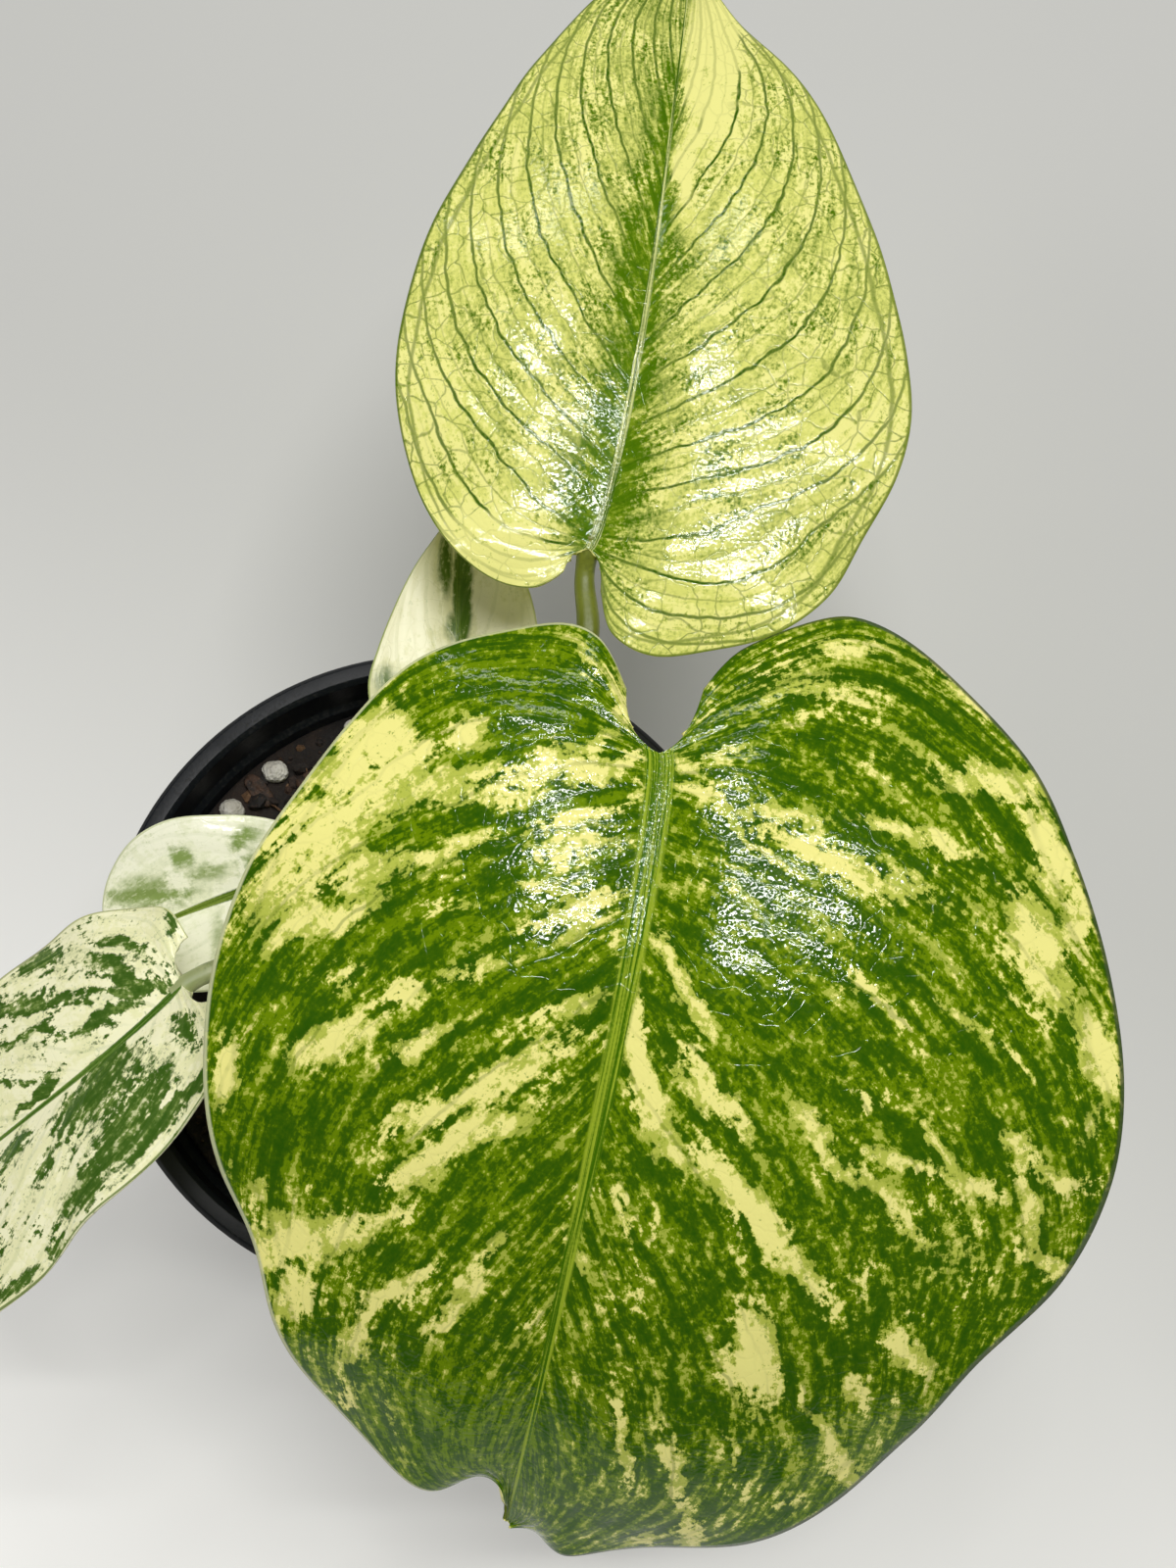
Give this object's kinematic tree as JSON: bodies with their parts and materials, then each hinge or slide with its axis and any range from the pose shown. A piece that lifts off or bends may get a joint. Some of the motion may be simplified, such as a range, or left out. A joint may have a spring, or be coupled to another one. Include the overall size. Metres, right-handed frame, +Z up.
{
  "type": "potted mint monstera",
  "caption": "Young variegated monstera with heart-shaped leaves on arching stalks from a short stem, growing in a round black nursery pot.",
  "frame": {"origin": "centre of the pot's underside, on the surface that the pot stands on", "axes": "+Z up; the upper leaf points towards +Y, and the large leaf's tip hangs towards -Y"},
  "size_m": [0.1861, 0.251, 0.153],
  "materials": {
    "pot_plastic": "semi-matte black moulded plastic",
    "potting_mix": "moist, rough potting mix",
    "perlite": "matte white volcanic grain",
    "bark": "rough brown bark",
    "stem_green": "smooth olive plant skin",
    "blade_large": "glossy green leaf with cream marbling",
    "blade_upper": "glossy yellow-cream leaf with green net veins",
    "blade_left": "cream leaf with grey-green marbling",
    "blade_small": "pale cream leaf with soft green blotches",
    "blade_back": "cream leaf with a dark green midrib"
  },
  "bodies": {
    "root": {"pot": "pot_plastic", "soil": "potting_mix", "perlite_1": "perlite", "perlite_2": "perlite", "perlite_3": "perlite", "perlite_4": "perlite", "perlite_5": "perlite", "perlite_6": "perlite", "perlite_7": "perlite", "perlite_8": "perlite", "perlite_9": "perlite", "bark_1": "bark", "bark_2": "bark", "bark_3": "bark", "bark_4": "bark", "bark_5": "bark", "bark_6": "bark", "bark_7": "bark", "stem": "stem_green", "stalk_large": "stem_green", "leaf_large": "blade_large", "stalk_upper": "stem_green", "leaf_upper": "blade_upper", "stalk_left": "stem_green", "leaf_left": "blade_left", "stalk_small": "stem_green", "leaf_small": "blade_small", "stalk_back": "stem_green", "leaf_back": "blade_back"}
  },
  "joints": []
}
